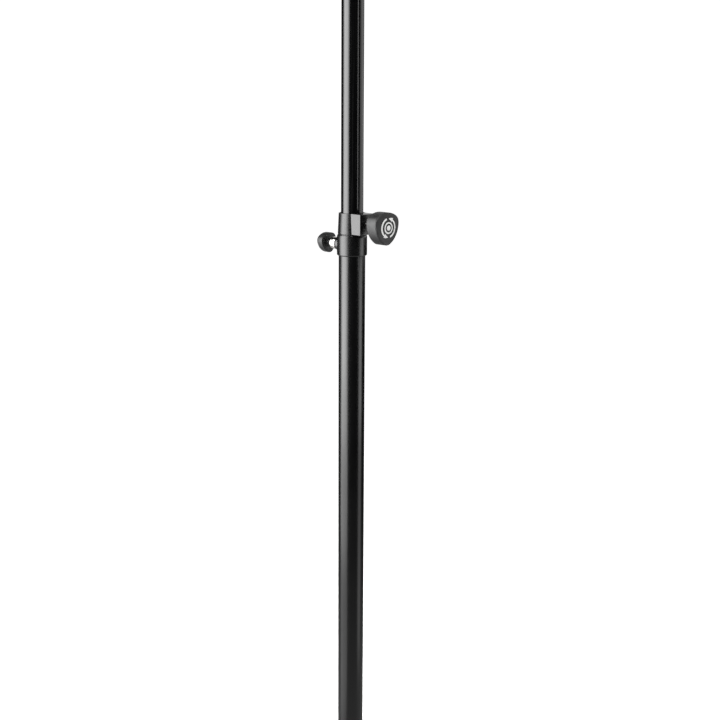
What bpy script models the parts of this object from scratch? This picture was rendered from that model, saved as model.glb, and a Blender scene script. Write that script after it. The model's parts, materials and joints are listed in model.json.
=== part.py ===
"""Telescopic speaker pole with a clamp knob and a spring-loaded index bolt.

The outer tube stands on a threaded stud that screws into a loudspeaker below it.
The mast slides and turns inside the tube and carries a second loudspeaker.
Units are metres. The origin is the middle of the seat, +Z runs up the pole,
the clamp screw lies along +X and the index bolt along -X.
"""

import math

import bmesh
import bpy
from mathutils import Vector

# clearances
GAP = 0.0003              # between pieces that touch, slide or thread together
EDGE = 0.0004             # small chamfer on turned edges
LOOSE = 0.0005            # around loose pieces
CUT_PAST = 0.005          # how far a cutter runs past the surface it cuts

# tubes
INNER_RADIUS = 0.0175
GUIDE_ROOM = 0.002        # between the two tubes
TUBE_WALL = 0.0015
INNER_BORE = INNER_RADIUS - TUBE_WALL
OUTER_BORE = INNER_RADIUS + GUIDE_ROOM
OUTER_RADIUS = OUTER_BORE + TUBE_WALL

# base
SEAT_THICKNESS = 0.002
FLANGE_THICKNESS = 0.006
PLUG_LENGTH = 0.032
STUD_RADIUS = 0.010
STUD_BELOW = 0.034
STUD_IN_PLUG = 0.026
STUD_POINT = 0.0015
BASE_RIVET_HEIGHT = 0.024
BASE_RIVET_DEPTH = 0.006

# clamp head and collar, which meet at the seam
SEAM_Z = 0.931
HEAD_HEIGHT = 0.033
HEAD_WALL = 0.00115
HEAD_TAPER = 0.0014
HEAD_OVERLAP = 0.0066     # how far the outer tube runs up into the head
COLLAR_HEIGHT = 0.0339
COLLAR_WALL = 0.00245
COLLAR_SHOULDER = 0.005
COLLAR_FILLET = 0.0024
LINER_WALL = 0.0013
LINER_RECESS = 0.0006

# clamp block and screw
CLAMP_ABOVE_SEAM = 0.0156
BLOCK_WIDTH = 0.0325
BLOCK_LIFT = 0.0012       # of its underside above the seam
BLOCK_REACH = 0.0125      # from the outer tube's surface
BLOCK_EDGE = 0.0008
PAD_RADIUS = 0.0065
PAD_THICKNESS = 0.0034
SHOE_THICKNESS = 0.002
SHOE_SOCKET = 0.0011
CLAMP_TRAVEL = 0.00225
INSERT_WALL = 0.0028      # around the thread
INSERT_NECK_WALL = 0.0012
INSERT_NECK_LENGTH = 0.0028
THREAD_RADIUS = 0.005
TIP_RADIUS = 0.003
TIP_LENGTH = 0.0018       # of the screw beyond the shoe, before its thread
HUB_RADIUS = 0.0075
HUB_LENGTH = 0.0077
KNOB_STANDOFF = 0.0215    # from the block to the knob
KNOB_DEPTH = 0.020
KNOB_SIDE = 0.0239        # side of the triangle whose corners the arcs turn about
KNOB_CORNER = 0.0133      # radius of the three lobes
KNOB_WALL = 0.0032
KNOB_EDGE = 0.0012
KNOB_FLOOR = 0.005
COVER_EDGE = 0.0009
COVER_CROWN = 0.0032
COVER_SKIRT = 0.003
WASHER_RADIUS = 0.010
WASHER_THICKNESS = 0.0015
NUT_FLATS = 0.017
NUT_HEIGHT = 0.0075

# index bolt
INDEX_BELOW_SEAM = 0.0176
INDEX_BOSS_RADIUS = 0.0108
INDEX_BOSS_REACH = 0.0092  # from the outer tube's surface
SLEEVE_RADIUS = 0.008
SLEEVE_REACH = 0.0033
SLEEVE_BORE = 0.0066
LOCK_WASHER_THICKNESS = 0.0008
LOCK_WASHER_RADIUS = 0.0102
HOUSING_RADIUS = 0.0097
HOUSING_LENGTH = 0.0099
HOUSING_WALL = 0.003
HOUSING_EDGE = 0.0008
PIN_RADIUS = 0.004
PIN_SHAFT_RADIUS = 0.003
PIN_POINT = 0.001
PIN_SHOULDER_RADIUS = 0.0062
PIN_SHOULDER_LENGTH = 0.002
PIN_DROP = 0.003          # how far the pin can drop into a hole of the mast
PIN_IN_KNOB = 0.006
THRUST_WASHER_THICKNESS = 0.0008
SPRING_WIRE = 0.0008
SPRING_TURNS = 4
INDEX_KNOB_REACH = 0.0303  # from the outer tube's surface
INDEX_KNOB_DEPTH = 0.0117
INDEX_KNOB_EDGE = 0.0015
INDEX_KNOB_SIDE = 0.0150
INDEX_KNOB_CORNER = 0.0084
INDEX_KNOB_TURN = math.radians(-12)
INDEX_NECK_RADIUS = 0.0065
INDEX_NECK_LENGTH = 0.006
ROLL_PIN_RADIUS = 0.00125

# mast, at the height that it is clamped at
MAST_LENGTH = 0.952
MAST_ABOVE_HEAD = 0.426
CAP_THICKNESS = 0.002
CAP_SPIGOT = 0.018
CAP_EDGE = 0.001
FOOT_THICKNESS = 0.0037
GUIDE_LENGTH = 0.026
RING_THICKNESS = 0.0022
RING_GROOVE = 0.0007
RING_SPAN = math.radians(325)
STOP_RING_HEIGHT = 0.2445  # above the mast's foot
HOLE_PITCH = 0.060
HOLES_FROM_RING = 0.015
HOLES_FROM_TOP = 0.080

# rivets
RIVET_RADIUS = 0.002
RIVET_HEAD_RADIUS = 0.0036
RIVET_HEAD_HEIGHT = 0.0012
REAR_RIVET_ANGLES = (math.radians(80), math.radians(130))
HEAD_RIVET_ABOVE_SEAM = 0.0038
COLLAR_RIVET_BELOW_SEAM = 0.025
STOP_DEPTH = 0.0012       # how far the collar's rivets reach into the outer tube

# smoothness of round shapes, as points around them
ROUND = 48
SMALL = 24
TINY = 12

# places along the pole
CLAMP_Z = SEAM_Z + CLAMP_ABOVE_SEAM
INDEX_Z = SEAM_Z - INDEX_BELOW_SEAM
TUBE_BOTTOM = SEAT_THICKNESS + GAP + FLANGE_THICKNESS + GAP
TUBE_TOP = SEAM_Z + HEAD_OVERLAP
MAST_TOP = SEAM_Z + HEAD_HEIGHT + MAST_ABOVE_HEAD
MAST_BOTTOM = MAST_TOP - MAST_LENGTH
STOP_RING_TOP = MAST_BOTTOM + STOP_RING_HEIGHT

# radii that follow the tubes
HEAD_RADIUS_LOW = OUTER_RADIUS + GAP + HEAD_WALL
HEAD_RADIUS_TOP = HEAD_RADIUS_LOW - HEAD_TAPER
COLLAR_RADIUS = OUTER_RADIUS + GAP + COLLAR_WALL
GUIDE_RADIUS = OUTER_BORE - GAP
RING_RADIUS = OUTER_BORE - LOOSE
PIN_HOLE_RADIUS = PIN_RADIUS + GAP

# places across the pole
BLOCK_END = OUTER_RADIUS + BLOCK_REACH
PAD_BACK = INNER_RADIUS + GAP + PAD_THICKNESS
INSERT_RADIUS = THREAD_RADIUS + INSERT_WALL
INSERT_NECK_RADIUS = THREAD_RADIUS + INSERT_NECK_WALL
INSERT_STEP = BLOCK_END - INSERT_NECK_LENGTH
KNOB_BACK = BLOCK_END + KNOB_STANDOFF
INDEX_BOSS_END = OUTER_RADIUS + INDEX_BOSS_REACH
SLEEVE_START = OUTER_RADIUS + SLEEVE_REACH
PIN_SHOULDER_START = SLEEVE_START - GAP + PIN_DROP
INDEX_KNOB_BACK = OUTER_RADIUS + INDEX_KNOB_REACH
PIN_END = INDEX_KNOB_BACK + PIN_IN_KNOB


# ---------------------------------------------------------------- outlines

def ring(radius, height, count=ROUND, span=2 * math.pi):
    """Points on a circle, or on an arc of it, at one height."""
    steps = count if span == 2 * math.pi else count - 1
    angles = [span * i / steps for i in range(count)]
    return [Vector((radius * math.cos(a), radius * math.sin(a), height)) for a in angles]


def lobed_ring(side, corner, height, turn=0.0, points=6):
    """A rounded three-lobed outline of constant width, with its first lobe at the angle turn."""
    centre_distance = side / math.sqrt(3)
    out = []
    for k in range(3):
        lobe = turn + k * math.tau / 3
        opposite = lobe + math.pi / 3
        arcs = ((lobe, corner, lobe), (opposite + math.pi, side + corner, opposite))
        for centre_angle, radius, facing in arcs:
            centre = Vector((math.cos(centre_angle), math.sin(centre_angle), 0)) * centre_distance
            for i in range(points):
                a = facing + math.radians(60) * (i / points - 0.5)
                edge = centre + radius * Vector((math.cos(a), math.sin(a), 0))
                out.append(Vector((edge.x, edge.y, height)))
    return out


def hex_ring(flats, height, count=24):
    """A hexagon across flats, with its points spread evenly along the sides."""
    per_side = count // 6
    corners = [Vector((math.cos(k * math.pi / 3), math.sin(k * math.pi / 3), 0)) for k in range(7)]
    size = flats / math.sqrt(3)
    out = []
    for k in range(6):
        for i in range(per_side):
            edge = corners[k].lerp(corners[k + 1], i / per_side) * size
            out.append(Vector((edge.x, edge.y, height)))
    return out


def round_inside(outline, radius, height):
    """A circle whose points lie in the same directions as the outline's points."""
    return [Vector((p.x, p.y, 0)).normalized() * radius + Vector((0, 0, height)) for p in outline]


def scaled(outline, factor, height):
    return [Vector((p.x * factor, p.y * factor, height)) for p in outline]


# ---------------------------------------------------------------- solids

def loft(rings, closed=False):
    """Skin a row of rings: closed joins the last to the first, else both ends are capped."""
    bm = bmesh.new()
    rows = [[bm.verts.new(p) for p in row] for row in rings]
    count = len(rows[0])
    pairs = list(zip(rows, rows[1:])) + ([(rows[-1], rows[0])] if closed else [])
    for low, high in pairs:
        for i in range(count):
            j = (i + 1) % count
            bm.faces.new((low[i], low[j], high[j], high[i]))
    if not closed:
        bm.faces.new(rows[0])
        bm.faces.new(rows[-1])
    bmesh.ops.recalc_face_normals(bm, faces=bm.faces)
    return bm


def turned(profile, count=ROUND, closed=False):
    """A solid of revolution about Z from (radius, height) points."""
    return loft([ring(radius, height, count) for radius, height in profile], closed)


def tube(outer, inner, low, high, count=ROUND, edge=0.0):
    """A plain tube or washer, with its outer edges chamfered by edge."""
    profile = [(outer - edge, low), (outer, low + edge), (outer, high - edge)]
    profile += [(outer - edge, high), (inner, high), (inner, low)]
    if not edge:
        profile = [(outer, low), (outer, high), (inner, high), (inner, low)]
    return turned(profile, count, closed=True)


def rod(radius, low, high, count=SMALL, edge=0.0):
    """A plain round bar, with its end edges chamfered by edge."""
    if not edge:
        return turned([(radius, low), (radius, high)], count)
    profile = [(radius - edge, low), (radius, low + edge), (radius, high - edge), (radius - edge, high)]
    return turned(profile, count)


def split_ring(outer, inner, low, high):
    """A retaining ring with a gap in it."""
    bm = bmesh.new()
    corners = ((outer, low), (outer, high), (inner, high), (inner, low))
    arcs = [[bm.verts.new(p) for p in ring(r, z, SMALL, RING_SPAN)] for r, z in corners]
    for k in range(4):
        here, after = arcs[k], arcs[(k + 1) % 4]
        for i in range(SMALL - 1):
            bm.faces.new((here[i], here[i + 1], after[i + 1], after[i]))
    bm.faces.new([arc[0] for arc in arcs])
    bm.faces.new([arc[-1] for arc in arcs])
    bmesh.ops.recalc_face_normals(bm, faces=bm.faces)
    return bm


def coil(radius, wire, low, high, turns):
    """A compression spring whose end turns lie nearly flat."""
    steps = turns * 12
    rows = []
    for i in range(steps + 1):
        t = i / steps
        flat = t - math.sin(math.tau * t) / math.tau * 0.8
        angle = t * turns * math.tau
        out = Vector((math.cos(angle), math.sin(angle), 0))
        centre = out * radius + Vector((0, 0, low + wire / 2 + (high - low - wire) * flat))
        around = [math.tau * k / 6 for k in range(6)]
        rows.append([centre + wire / 2 * (out * math.cos(a) + Vector((0, 0, math.sin(a)))) for a in around])
    return loft(rows)


def block(x_low, x_high, width, z_low, z_high, edge):
    """A box from x_low to x_high with its outer edges bevelled, except at x_low."""
    bm = bmesh.new()
    bmesh.ops.create_cube(bm, size=1.0)
    for v in bm.verts:
        v.co.x = x_high if v.co.x > 0 else x_low
        v.co.y *= width
        v.co.z = z_high if v.co.z > 0 else z_low
    edges = [e for e in bm.edges if any(v.co.x > x_high - 1e-6 for v in e.verts)]
    bmesh.ops.bevel(bm, geom=edges, offset=edge, segments=3, profile=0.5, affect='EDGES')
    return bm


# ---------------------------------------------------------------- objects

def material(name, colour, roughness, metallic):
    made = bpy.data.materials.new(name)
    made.use_nodes = True
    shader = made.node_tree.nodes["Principled BSDF"]
    shader.inputs["Base Color"].default_value = (*colour, 1.0)
    shader.inputs["Roughness"].default_value = roughness
    shader.inputs["Metallic"].default_value = metallic
    made.diffuse_color = (*colour, 1.0)
    return made


def part(name, bm, look, frame=None):
    """One named object from a bmesh, placed in a frame (an empty) or in the world."""
    mesh = bpy.data.meshes.new(name)
    bm.to_mesh(mesh)
    bm.free()
    mesh.shade_smooth()
    mesh.set_sharp_from_angle(angle=math.radians(32))
    made = bpy.data.objects.new(name, mesh)
    bpy.context.collection.objects.link(made)
    made.parent = frame
    if look is not None:
        mesh.materials.append(look)
    return made


def combine(target, tool, operation):
    """Boolean target with tool, which is then only a guide."""
    tool.hide_render = True
    tool.display_type = 'WIRE'
    step = target.modifiers.new(operation.lower() + "_" + tool.name, 'BOOLEAN')
    step.operation = operation
    step.solver = 'EXACT'
    step.object = tool
    return target


def cut(target, name, bm, frame=None):
    return combine(target, part("cut_" + name, bm, None, frame), 'DIFFERENCE')


def add(target, name, bm, frame=None):
    return combine(target, part("add_" + name, bm, None, frame), 'UNION')


def axis_frame(name, angle, height):
    """An empty whose Z axis points level and outward from the pole, and whose X axis points down."""
    empty = bpy.data.objects.new(name, None)
    bpy.context.collection.objects.link(empty)
    empty.location = (0, 0, height)
    empty.rotation_euler = (0, math.pi / 2, angle)
    return empty


def rivet(name, angle, height, surface, depth, look):
    """A domed rivet in the pole's side, and its frame, in which its holes are cut."""
    frame = axis_frame("axis_" + name, angle, height)
    under = surface + GAP
    profile = [(RIVET_RADIUS, surface - depth), (RIVET_RADIUS, under), (RIVET_HEAD_RADIUS, under)]
    for i in range(1, 4):
        a = i * math.pi / 8
        profile.append((RIVET_HEAD_RADIUS * math.cos(a), under + RIVET_HEAD_HEIGHT * math.sin(a)))
    part(name, turned(profile, TINY), look, frame)
    return frame


def rivet_hole(target, frame, low, high):
    cut(target, target.name + "_" + frame.name, rod(RIVET_RADIUS + GAP, low, high, TINY), frame)


# ---------------------------------------------------------------- root pieces

def make_outer_tube(looks):
    bm = tube(OUTER_RADIUS, OUTER_BORE, TUBE_BOTTOM, TUBE_TOP, edge=EDGE)
    return part("outer_tube", bm, looks["tube_black"])


def make_base(looks):
    flange_low = SEAT_THICKNESS + GAP
    flange_high = flange_low + FLANGE_THICKNESS
    spigot = OUTER_BORE - GAP
    part("base_washer", tube(OUTER_RADIUS - EDGE, STUD_RADIUS + GAP, 0.0, SEAT_THICKNESS), looks["rubber"])
    profile = [(OUTER_RADIUS - EDGE, flange_low), (OUTER_RADIUS, flange_low + EDGE)]
    profile += [(OUTER_RADIUS, flange_high), (spigot, flange_high)]
    top = flange_high + PLUG_LENGTH
    profile += [(spigot, top - 2 * EDGE), (spigot - 2 * EDGE, top)]
    plug = part("base_plug", turned(profile), looks["bare_steel"])
    bore = rod(STUD_RADIUS + GAP, -STUD_BELOW, STUD_IN_PLUG + 2 * GAP)
    cut(plug, "stud_bore", bore)
    stud = rod(STUD_RADIUS, -STUD_BELOW, STUD_IN_PLUG, edge=STUD_POINT)
    part("base_stud", stud, looks["bare_steel"])
    return plug


def make_head(looks, clamp_axis):
    low = SEAM_Z + GAP
    top = SEAM_Z + HEAD_HEIGHT
    bore = OUTER_RADIUS + GAP
    profile = [(HEAD_RADIUS_LOW - EDGE, low), (HEAD_RADIUS_LOW, low + EDGE)]
    profile += [(HEAD_RADIUS_TOP, top - EDGE), (HEAD_RADIUS_TOP - EDGE, top)]
    head = part("clamp_head", turned(profile), looks["casting_black"])
    add(head, "clamp_block", block(0.0, BLOCK_END, BLOCK_WIDTH, SEAM_Z + BLOCK_LIFT, top, BLOCK_EDGE))
    step = TUBE_TOP + GAP
    liner_seat = INNER_RADIUS + GAP + LINER_WALL + GAP
    stepped = [(bore, low - CUT_PAST), (bore, step), (liner_seat, step), (liner_seat, top + CUT_PAST)]
    cut(head, "head_bore", turned(stepped))
    pocket = INSERT_RADIUS + GAP
    neck = INSERT_NECK_RADIUS + GAP
    pocket_end = INSERT_STEP + GAP
    stepped = [(pocket, INNER_RADIUS / 2), (pocket, pocket_end)]
    stepped += [(neck, pocket_end), (neck, BLOCK_END + CUT_PAST)]
    cut(head, "clamp_bore", turned(stepped, SMALL), clamp_axis)
    return head


def make_liner(looks, clamp_axis):
    inner = INNER_RADIUS + GAP
    low = TUBE_TOP + 2 * GAP
    high = SEAM_Z + HEAD_HEIGHT - LINER_RECESS
    liner = part("liner_bush", tube(inner + LINER_WALL, inner, low, high), looks["plastic_black"])
    cut(liner, "liner_window", rod(PAD_RADIUS + LOOSE, INNER_RADIUS / 2, BLOCK_END), clamp_axis)
    return liner


def make_collar(looks, index_axis):
    top = SEAM_Z
    bottom = SEAM_Z - COLLAR_HEIGHT
    bore = OUTER_RADIUS + GAP
    profile = [(HEAD_RADIUS_LOW, top)]
    for i in range(1, 5):
        t = i / 4
        radius = HEAD_RADIUS_LOW + (COLLAR_RADIUS - HEAD_RADIUS_LOW) * math.sin(t * math.pi / 2)
        profile.append((radius, top - COLLAR_SHOULDER * t))
    for i in range(5):
        a = i * math.pi / 8
        radius = COLLAR_RADIUS - COLLAR_FILLET * (1 - math.cos(a))
        profile.append((radius, bottom + COLLAR_FILLET * (1 - math.sin(a))))
    collar = part("collar", turned(profile), looks["casting_black"])
    boss = rod(INDEX_BOSS_RADIUS, INNER_RADIUS / 2, INDEX_BOSS_END, SMALL, edge=EDGE)
    add(collar, "index_boss", boss, index_axis)
    cut(collar, "collar_bore", rod(bore, bottom - CUT_PAST, top + CUT_PAST, ROUND))
    sleeve = SLEEVE_RADIUS + GAP
    floor = SLEEVE_START - GAP
    stepped = [(PIN_HOLE_RADIUS, INNER_RADIUS / 2), (PIN_HOLE_RADIUS, floor)]
    stepped += [(sleeve, floor), (sleeve, INDEX_BOSS_END + CUT_PAST)]
    cut(collar, "index_bore", turned(stepped, SMALL), index_axis)
    return collar


def make_rivets(looks, outer_tube, head, collar, plug):
    inside = OUTER_BORE - CUT_PAST
    for k, angle in enumerate(REAR_RIVET_ANGLES, start=1):
        height = SEAM_Z + HEAD_RIVET_ABOVE_SEAM
        depth = HEAD_RADIUS_LOW - OUTER_BORE - GAP
        frame = rivet(f"head_rivet_{k}", angle, height, HEAD_RADIUS_LOW, depth, looks["rivet_black"])
        rivet_hole(head, frame, inside, HEAD_RADIUS_LOW + CUT_PAST)
        rivet_hole(outer_tube, frame, inside, OUTER_RADIUS + CUT_PAST)
        height = SEAM_Z - COLLAR_RIVET_BELOW_SEAM
        depth = COLLAR_RADIUS - OUTER_BORE + STOP_DEPTH
        frame = rivet(f"collar_rivet_{k}", angle, height, COLLAR_RADIUS, depth, looks["rivet_black"])
        rivet_hole(collar, frame, inside, COLLAR_RADIUS + CUT_PAST)
        rivet_hole(outer_tube, frame, inside, OUTER_RADIUS + CUT_PAST)
    for k, angle in enumerate((math.pi / 2, -math.pi / 2), start=1):
        name = f"base_rivet_{k}"
        frame = rivet(name, angle, BASE_RIVET_HEIGHT, OUTER_RADIUS, BASE_RIVET_DEPTH, looks["rivet_black"])
        rivet_hole(outer_tube, frame, inside, OUTER_RADIUS + CUT_PAST)
        rivet_hole(plug, frame, OUTER_RADIUS - BASE_RIVET_DEPTH - GAP, OUTER_RADIUS + CUT_PAST)


# ---------------------------------------------------------------- clamp

def make_clamp(looks, axis):
    inner = THREAD_RADIUS + GAP
    insert_start = PAD_BACK + GAP + SHOE_THICKNESS + CLAMP_TRAVEL + 2 * GAP
    insert_end = BLOCK_END - GAP
    profile = [(INSERT_RADIUS, insert_start), (INSERT_RADIUS, INSERT_STEP), (INSERT_NECK_RADIUS, INSERT_STEP)]
    profile += [(INSERT_NECK_RADIUS, insert_end), (inner, insert_end), (inner, insert_start)]
    part("thread_insert", turned(profile, SMALL, closed=True), looks["blackened_steel"], axis)

    pad = part("clamp_pad", rod(PAD_RADIUS, INNER_RADIUS / 2, PAD_BACK), looks["rubber"], axis)
    tube_space = rod(INNER_RADIUS + GAP, CLAMP_Z - 2 * PAD_RADIUS, CLAMP_Z + 2 * PAD_RADIUS, ROUND)
    cut(pad, "tube_space", tube_space)

    shoe_front = PAD_BACK + GAP
    shoe_back = shoe_front + SHOE_THICKNESS
    socket = TIP_RADIUS + GAP
    socket_floor = shoe_back - SHOE_SOCKET
    profile = [(PAD_RADIUS, shoe_front), (PAD_RADIUS, shoe_back), (socket, shoe_back), (socket, socket_floor)]
    part("clamp_shoe", turned(profile, SMALL), looks["bare_steel"], axis)

    tip = socket_floor + GAP
    thread_start = shoe_back + TIP_LENGTH
    hub_start = KNOB_BACK - GAP - HUB_LENGTH
    washer_low = KNOB_BACK + KNOB_FLOOR + GAP
    nut_low = washer_low + WASHER_THICKNESS + GAP
    spindle_end = nut_low + NUT_HEIGHT - GAP
    profile = [(TIP_RADIUS, tip), (TIP_RADIUS, thread_start), (THREAD_RADIUS - EDGE, thread_start)]
    profile += [(THREAD_RADIUS, thread_start + EDGE), (THREAD_RADIUS, hub_start)]
    profile += [(HUB_RADIUS - EDGE, hub_start), (HUB_RADIUS, hub_start + EDGE), (HUB_RADIUS, KNOB_BACK - GAP)]
    profile += [(THREAD_RADIUS, KNOB_BACK - GAP), (THREAD_RADIUS, spindle_end - EDGE)]
    profile += [(THREAD_RADIUS - EDGE, spindle_end)]
    part("clamp_spindle", turned(profile, SMALL), looks["blackened_steel"], axis)

    washer = tube(WASHER_RADIUS, inner, washer_low, washer_low + WASHER_THICKNESS, SMALL)
    part("clamp_washer", washer, looks["zinc"], axis)
    part("clamp_nut", nut(inner, nut_low, nut_low + NUT_HEIGHT), looks["zinc"], axis)
    make_knob(looks, axis, inner)


def nut(inner, low, high):
    flats = NUT_FLATS
    rows = [hex_ring(flats, low), hex_ring(flats, high)]
    rows += [round_inside(rows[0], inner, high), round_inside(rows[0], inner, low)]
    return loft(rows, closed=True)


def make_knob(looks, axis, bore):
    """The knob is a lobed cup with the nut inside, closed by a domed cover with a skirt."""
    def lobed(inset, height):
        return lobed_ring(KNOB_SIDE, KNOB_CORNER - inset, height)

    rim = KNOB_BACK + KNOB_DEPTH - GAP
    floor = KNOB_BACK + KNOB_FLOOR
    rows = [lobed(KNOB_EDGE, KNOB_BACK), lobed(KNOB_EDGE / 3, KNOB_BACK + KNOB_EDGE / 4)]
    rows += [lobed(0.0, KNOB_BACK + KNOB_EDGE), lobed(0.0, rim)]
    rows += [lobed(KNOB_WALL, rim), lobed(KNOB_WALL, floor)]
    rows += [round_inside(rows[0], bore, floor), round_inside(rows[0], bore, KNOB_BACK)]
    part("clamp_knob", loft(rows, closed=True), looks["plastic_black"], axis)

    low = rim + GAP
    edge = low + COVER_EDGE
    skirt = KNOB_WALL + GAP
    rows = [lobed(skirt, low - COVER_SKIRT), lobed(skirt, low)]
    rows += [lobed(0.0, low), lobed(0.0, edge - COVER_EDGE / 2), lobed(EDGE, edge)]
    for i in range(1, 7):
        factor = math.cos(i * math.pi / 14)
        rows.append(scaled(lobed(2 * EDGE, 0.0), factor, edge + COVER_CROWN * (1 - factor ** 2) ** 0.75))
    part("clamp_knob_cover", loft(rows), looks["plastic_black"], axis)


# ---------------------------------------------------------------- index bolt

def make_index_bolt(looks, axis):
    shaft_bore = PIN_SHAFT_RADIUS + GAP
    washer_low = INDEX_BOSS_END + GAP
    washer_high = washer_low + LOCK_WASHER_THICKNESS
    lock_washer = tube(LOCK_WASHER_RADIUS, SLEEVE_RADIUS + GAP, washer_low, washer_high, SMALL)
    part("index_lock_washer", lock_washer, looks["zinc"], axis)

    front_low = washer_high + GAP
    front = front_low + HOUSING_LENGTH
    spring_seat = front - HOUSING_WALL
    profile = [(SLEEVE_RADIUS, SLEEVE_START), (SLEEVE_RADIUS, front_low), (HOUSING_RADIUS - EDGE, front_low)]
    profile += [(HOUSING_RADIUS, front_low + EDGE), (HOUSING_RADIUS, front - HOUSING_EDGE)]
    profile += [(HOUSING_RADIUS - HOUSING_EDGE, front), (shaft_bore, front), (shaft_bore, spring_seat)]
    profile += [(SLEEVE_BORE, spring_seat), (SLEEVE_BORE, SLEEVE_START)]
    part("index_body", turned(profile, SMALL, closed=True), looks["nickel"], axis)

    shoulder_end = PIN_SHOULDER_START + PIN_SHOULDER_LENGTH
    tip = INNER_RADIUS + GAP
    profile = [(PIN_RADIUS - PIN_POINT, tip), (PIN_RADIUS, tip + PIN_POINT), (PIN_RADIUS, PIN_SHOULDER_START)]
    profile += [(PIN_SHOULDER_RADIUS, PIN_SHOULDER_START), (PIN_SHOULDER_RADIUS, shoulder_end)]
    profile += [(PIN_SHAFT_RADIUS, shoulder_end), (PIN_SHAFT_RADIUS, PIN_END)]
    pin = part("index_pin", turned(profile, SMALL), looks["bare_steel"], axis)

    washer_low = shoulder_end + GAP
    washer_high = washer_low + THRUST_WASHER_THICKNESS
    thrust = tube(PIN_SHOULDER_RADIUS, shaft_bore, washer_low, washer_high, SMALL)
    part("index_thrust_washer", thrust, looks["zinc"], axis)
    coil_radius = PIN_SHOULDER_RADIUS - SPRING_WIRE / 2 - GAP
    spring = coil(coil_radius, SPRING_WIRE, washer_high + GAP, spring_seat - GAP, SPRING_TURNS)
    part("index_spring", spring, looks["spring_steel"], axis)
    make_index_knob(looks, axis, pin, shaft_bore)


def make_index_knob(looks, axis, pin, bore):
    def lobed(inset, height):
        return lobed_ring(INDEX_KNOB_SIDE, INDEX_KNOB_CORNER - inset, height, INDEX_KNOB_TURN, points=5)

    back = INDEX_KNOB_BACK
    front = back + INDEX_KNOB_DEPTH
    neck = back - INDEX_NECK_LENGTH
    blind_end = PIN_END + GAP
    outline = lobed(0.0, back)
    rows = [round_inside(outline, bore, blind_end), round_inside(outline, bore, neck)]
    rows += [round_inside(outline, INDEX_NECK_RADIUS, neck), round_inside(outline, INDEX_NECK_RADIUS, back)]
    round_off = INDEX_KNOB_EDGE
    rows += [lobed(round_off / 2, back), lobed(0.0, back + round_off / 2), lobed(0.0, front - round_off)]
    rows += [lobed(round_off / 4, front - round_off / 2), lobed(round_off, front)]
    rows.append(scaled(lobed(round_off, 0.0), 0.5, front + EDGE))
    knob = part("index_knob", loft(rows), looks["plastic_black"], axis)

    height = neck + INDEX_NECK_LENGTH / 2
    cross = bpy.data.objects.new("axis_roll_pin", None)
    bpy.context.collection.objects.link(cross)
    cross.parent = axis
    cross.location = (0, 0, height)
    cross.rotation_euler = (math.pi / 2, 0, 0)
    reach = INDEX_NECK_RADIUS - GAP
    part("index_roll_pin", rod(ROLL_PIN_RADIUS, -reach, reach, TINY), looks["spring_steel"], cross)
    hole = ROLL_PIN_RADIUS + GAP
    past = reach + CUT_PAST
    cut(knob, "knob_cross_hole", rod(hole, -past, past, TINY), cross)
    cut(pin, "pin_cross_hole", rod(hole, -reach, reach, TINY), cross)


# ---------------------------------------------------------------- mast

def hole_heights():
    """Every hole's height: the pin stands halfway between two of them."""
    lowest = STOP_RING_TOP + HOLES_FROM_RING
    highest = MAST_TOP - HOLES_FROM_TOP
    count = int(MAST_LENGTH / HOLE_PITCH)
    heights = [INDEX_Z + HOLE_PITCH * (k + 0.5) for k in range(-count, count)]
    return [z for z in heights if lowest < z < highest]


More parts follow.
